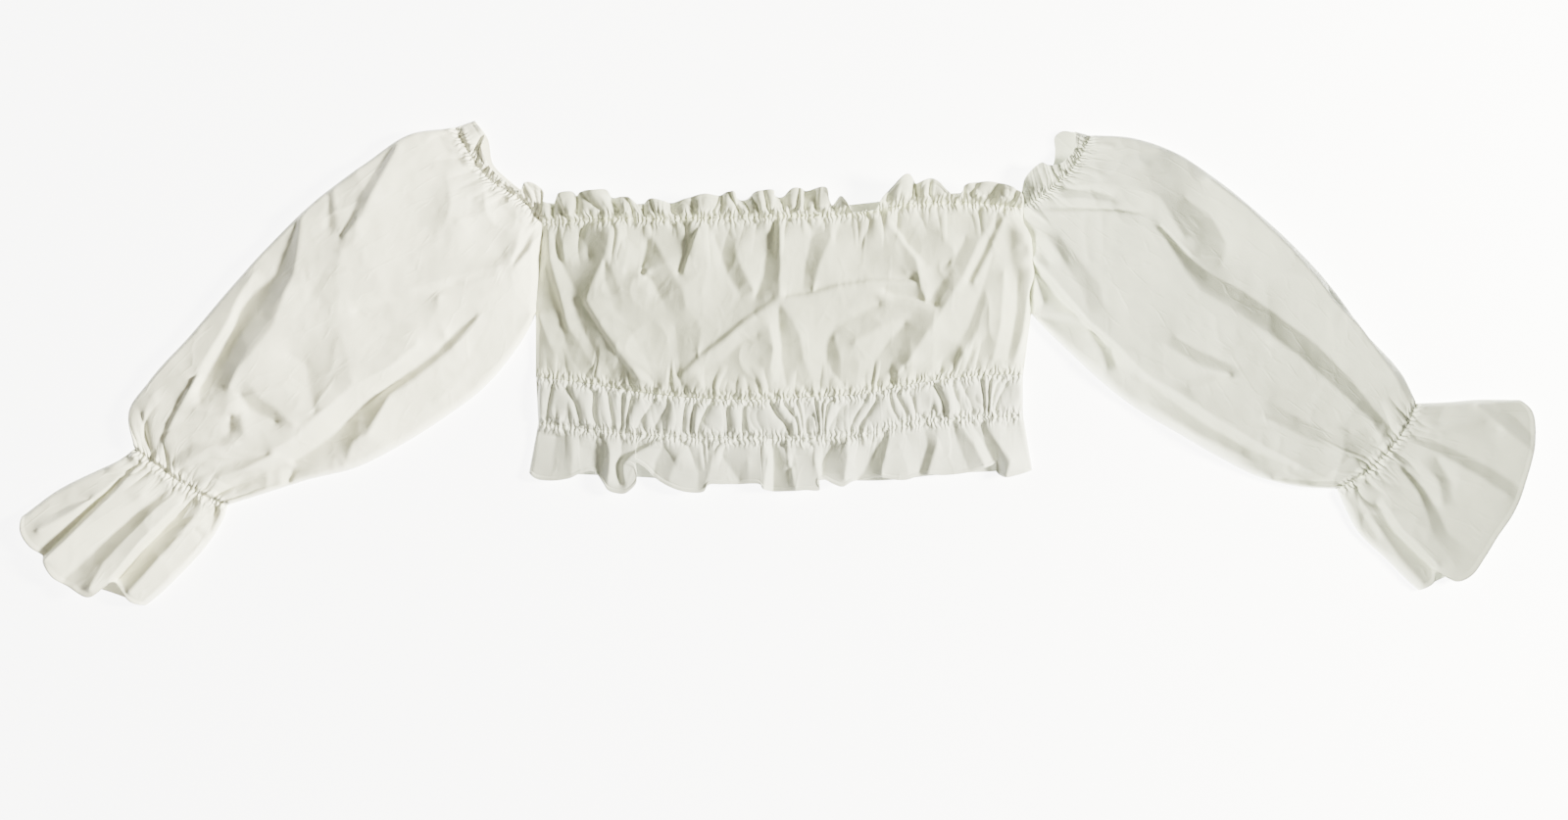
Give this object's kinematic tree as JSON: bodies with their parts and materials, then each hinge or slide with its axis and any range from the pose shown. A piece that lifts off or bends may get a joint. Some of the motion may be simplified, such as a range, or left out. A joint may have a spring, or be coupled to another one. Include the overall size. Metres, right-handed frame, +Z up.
{
  "type": "off-shoulder top",
  "caption": "White off-shoulder crop top laid flat, with long balloon sleeves and frills past the elastic at neckline, waist and wrists.",
  "frame": {"origin": "centre of the bounding box's underside, on the surface that the top lies on", "axes": "+X across the top towards the sleeve on the right as seen from above, +Y from the hem to the neckline, +Z up from the surface"},
  "size_m": [1.3092, 0.42, 0.0242],
  "materials": {
    "cotton": "matt white cotton poplin"
  },
  "bodies": {
    "root": {"front_bodice": "cotton", "back_bodice": "cotton", "front_neck_frill": "cotton", "back_neck_frill": "cotton", "waistband": "cotton", "hem_frill": "cotton", "sleeve_left": "cotton", "sleeve_right": "cotton", "sleeve_neck_frill_left": "cotton", "sleeve_neck_frill_right": "cotton", "cuff_frill_left": "cotton", "cuff_frill_right": "cotton"}
  },
  "joints": []
}
